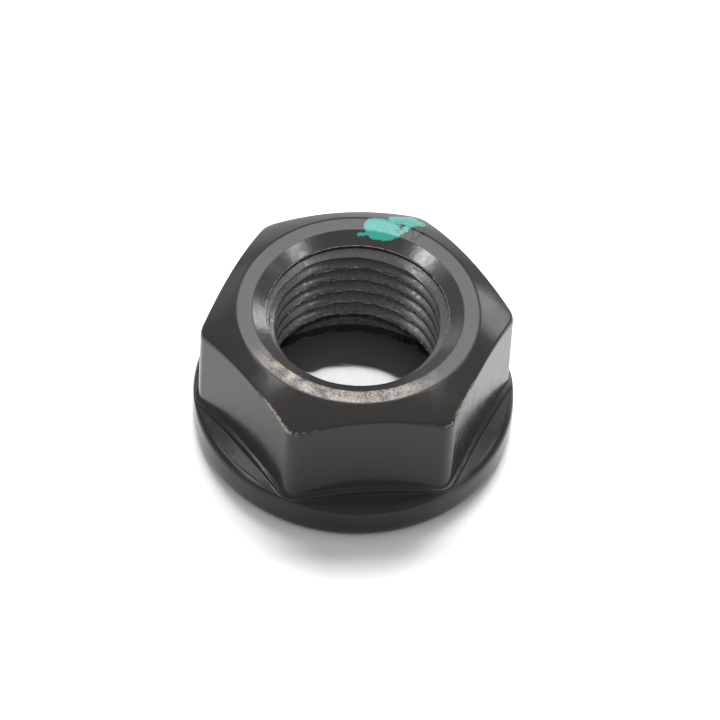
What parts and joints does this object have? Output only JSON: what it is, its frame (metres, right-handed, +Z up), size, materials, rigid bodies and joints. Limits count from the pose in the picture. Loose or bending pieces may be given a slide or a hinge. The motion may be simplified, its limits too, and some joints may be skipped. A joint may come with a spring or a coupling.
{
  "type": "serrated flange nut",
  "caption": "Hexagonal nut forged in one piece with a narrow round flange, a chamfered top, a tapped through bore and ratchet serrations under the flange.",
  "frame": {"origin": "centre of the bearing face under the flange, on the bore axis", "axes": "+Z up the bore axis towards the chamfered top; two wrench flats face -Y and +Y, two corners lie on -X and +X"},
  "size_m": [0.0282, 0.028, 0.0145],
  "materials": {
    "black_steel": "forged steel with a black coating, satin, worn bright in places on the top ring"
  },
  "bodies": {
    "root": {"flange_nut": "black_steel"}
  },
  "joints": []
}
